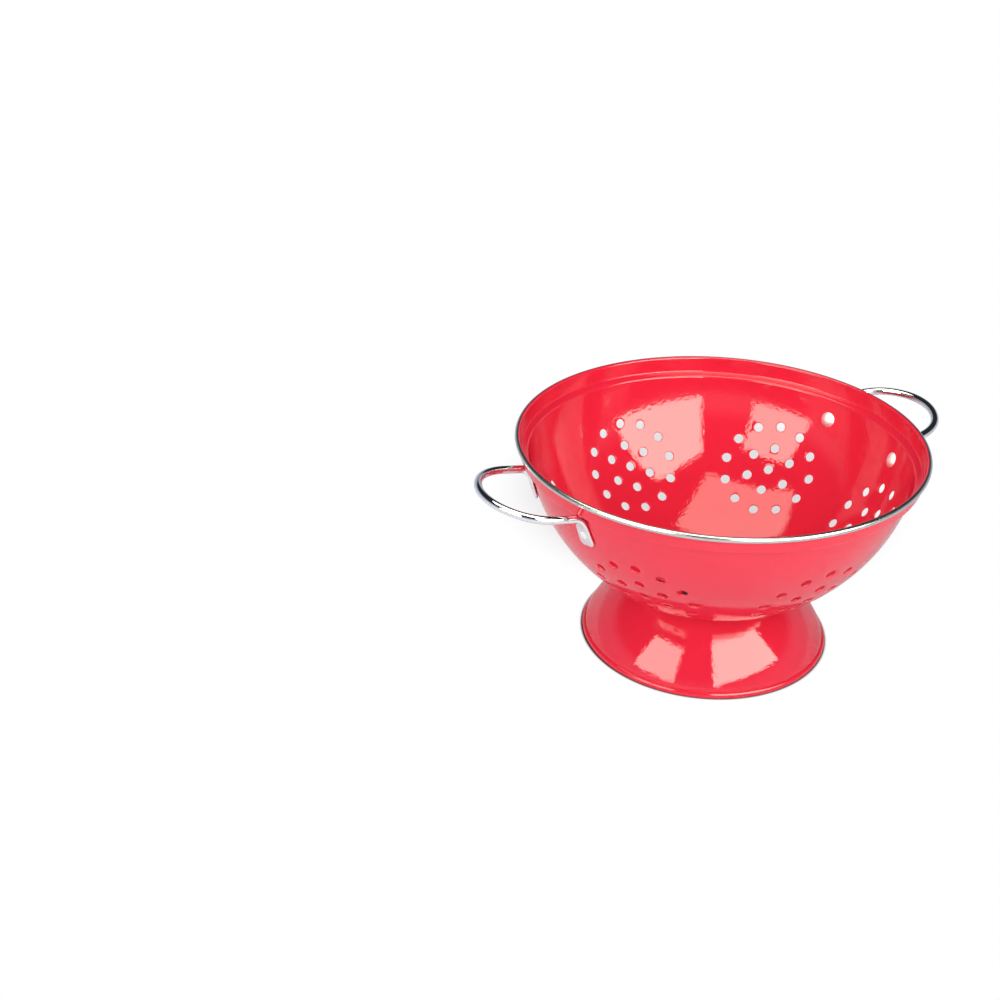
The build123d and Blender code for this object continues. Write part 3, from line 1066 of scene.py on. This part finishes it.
def softbox(name, corners, light, shine):
    """A lamp between four corners in room millimetres: the light that it gives, and how bright
    its cloth looks in glossy surfaces."""
    places = [room @ (Vector(c) * mm) for c in corners]
    middle = sum(places, Vector()) / 4
    level = (places[1] - places[0] + places[2] - places[3]) / 2
    height = (places[3] - places[0] + places[2] - places[1]) / 2
    normal = level.cross(height).normalized()
    if normal.dot(middle - ball_middle * mm) > 0:
        places.reverse()
        normal = -normal
    mesh = bpy.data.meshes.new(name + "_cloth")
    mesh.from_pydata(places, [], [(0, 1, 2, 3)])
    mesh.materials.append(cloth_finish(name + "_cloth", shine))
    cloth = bpy.data.objects.new(name + "_cloth", mesh)
    scene.collection.objects.link(cloth)
    cloth.visible_camera = False
    cloth.visible_diffuse = False
    lamp_data = bpy.data.lights.new(name, "AREA")
    lamp_data.shape = "RECTANGLE"
    lamp_data.size = level.length
    lamp_data.size_y = height.length
    lamp_data.energy = light * level.length * height.length * math.pi
    lamp = bpy.data.objects.new(name, lamp_data)
    side = level.normalized()
    turn = Matrix((side, normal.cross(side) * -1, -normal)).transposed()
    lamp.matrix_world = Matrix.Translation(middle) @ turn.to_4x4()
    lamp.visible_camera = False
    lamp.visible_glossy = False
    scene.collection.objects.link(lamp)
    print(name, "light", light, "shine", shine)


left_corners = ((-508, -897, 1000), (-1064, -454, 1000), (-1107, -419, 286), (-508, -897, 286))
right_corners = ((70, -873, 1000), (583, -335, 1000), (655, -259, 250), (70, -873, 250))
top_corners = ((9, -534, 1000), (-929, -4, 1000), (-537, 476, 1000), (326, 138, 1000))
softbox("left_softbox", left_corners, 3.7, 7.3)
softbox("right_softbox", right_corners, 3.9, 9.4)
softbox("top_cloth", top_corners, 1.25, 4.0)

# %% [markdown]
# ## Floor and world
# The background is clean white, made by the floor's material and not by more light. What the
# camera sees of the floor glows at 1, but for a painted contact shadow, a dark line painted into
# the paper's colour round the foot, and a soft round place behind the bowl, mostly hidden by it,
# where the lit paper with the bowl's own shadow shows through the drain holes as light grey.
# Enamel and chrome see the lit paper, with that painted contact shadow, near the bowl and cool
# white further off. From below the floor can't be seen at all.

# %% Floor
floor_mesh = bpy.data.meshes.new("floor")
reach = 8.0
floor_corners = [(-reach, -reach, 0), (reach, -reach, 0), (reach, reach, 0), (-reach, reach, 0)]
floor_mesh.from_pydata(floor_corners, [], [(0, 1, 2, 3)])
floor = bpy.data.objects.new("floor", floor_mesh)
scene.collection.objects.link(floor)
white_paper, tree = empty_material("white_paper")
cool_white = linear("#DCE8FF")
place = add(tree, "ShaderNodeTexCoord").outputs["Object"]


def outside(centre, inner, outer):
    """0 within a round place of the floor, 1 beyond it, in millimetres."""
    middle = Vector((centre[0], centre[1], 0)) * mm
    away = add(tree, "ShaderNodeVectorMath", {"operation": "SUBTRACT", 1: middle}, {0: place})
    far = add(tree, "ShaderNodeVectorMath", {"operation": "LENGTH"}, {0: away})
    limits = {"interpolation_type": "SMOOTHSTEP", "From Min": inner * mm, "From Max": outer * mm}
    return add(tree, "ShaderNodeMapRange", limits, {"Value": far.outputs["Value"]})


# The painted contact shadow, a dark line in the paper's colour, starts under the foot's roll and
# ends past it, slightly more towards the back
beyond_roll = outside((0, 0), 70.0, 72.5)
beyond_foot = outside((0.7, 1.4), 75.6, 77.6)
# The soft place behind the bowl keeps a quarter of the white
beyond_shade = outside((98, 158), 95, 158)
kept_white = 0.25
# Share of painted contact shadow: the ring where the paper's colour is darkened as shade
painted_contact_shadow = add(
    tree, "ShaderNodeMath", {"operation": "SUBTRACT", "use_clamp": True}, {0: beyond_roll, 1: beyond_foot}
)
shade = add(tree, "ShaderNodeMapRange", {"To Min": kept_white}, {"Value": beyond_shade})
seen_white = maths(tree, "MULTIPLY", beyond_foot, shade)
rays = add(tree, "ShaderNodeLightPath")
to_camera = maths(tree, "MULTIPLY", rays.outputs["Is Camera Ray"], seen_white)
far_off = outside((0, 0), 300, 1200)
to_gloss = maths(tree, "MULTIPLY", rays.outputs["Is Glossy Ray"], far_off)
white_share = maths(tree, "MAXIMUM", to_camera, to_gloss)
# Paper white, darkened to a painted contact shadow in that ring
paper_and_painted_shadow = add(
    tree,
    "ShaderNodeMix",
    {"data_type": "RGBA", 6: linear("#F8FAFD"), 7: linear("#4A4240")},
    {0: painted_contact_shadow},
)
paper = add(tree, "ShaderNodeBsdfDiffuse", {}, {"Color": paper_and_painted_shadow.outputs[2]})
cool = add(
    tree,
    "ShaderNodeMix",
    {"data_type": "RGBA", 6: linear("#FFFFFF"), 7: cool_white},
    {0: rays.outputs["Is Glossy Ray"]},
)
glow = add(tree, "ShaderNodeEmission", {"Strength": 1.0}, {"Color": cool.outputs[2]})
seen = add(tree, "ShaderNodeMixShader", {}, {0: white_share, 1: paper, 2: glow})
nothing = add(tree, "ShaderNodeBsdfTransparent")
below = add(tree, "ShaderNodeNewGeometry").outputs["Backfacing"]
one_sided = add(tree, "ShaderNodeMixShader", {}, {0: below, 1: seen, 2: nothing})
add(tree, "ShaderNodeOutputMaterial", links={"Surface": one_sided})
floor_mesh.materials.append(white_paper)

# %% World
# Glossy surfaces see pale walls that end below a dark ceiling, matt ones an even fill, and the
# camera plain white. Heights are those of a ray's direction, from 0 level to 1 straight up.
wall_glow, ceiling_glow = 0.6, 0.03
wall_end, ceiling_start = 0.22, 0.40
fill_glow = 0.5
studio = bpy.data.worlds.new("studio")
scene.world = studio
studio.use_nodes = True
tree = studio.node_tree
tree.nodes.clear()
rays = add(tree, "ShaderNodeLightPath")
way = add(tree, "ShaderNodeTexCoord").outputs["Generated"]
height = add(tree, "ShaderNodeSeparateXYZ", {}, {0: way})
limits = {"From Min": wall_end, "From Max": ceiling_start, "To Min": wall_glow, "To Max": ceiling_glow}
limits["interpolation_type"] = "SMOOTHSTEP"
walls = add(tree, "ShaderNodeMapRange", limits, {"Value": height.outputs["Z"]})
shown = add(tree, "ShaderNodeBackground", {"Color": linear("#E6EDFA")}, {"Strength": walls})
fill = add(tree, "ShaderNodeBackground", {"Color": linear("#FFFFFF"), "Strength": fill_glow})
behind = add(tree, "ShaderNodeBackground", {"Color": linear("#FFFFFF"), "Strength": 1.0})
is_glossy, is_camera = rays.outputs["Is Glossy Ray"], rays.outputs["Is Camera Ray"]
either = add(tree, "ShaderNodeMixShader", {}, {0: is_glossy, 1: fill, 2: shown})
whole = add(tree, "ShaderNodeMixShader", {}, {0: is_camera, 1: either, 2: behind})
add(tree, "ShaderNodeOutputWorld", links={"Surface": whole})
scene.view_settings.view_transform = "Standard"
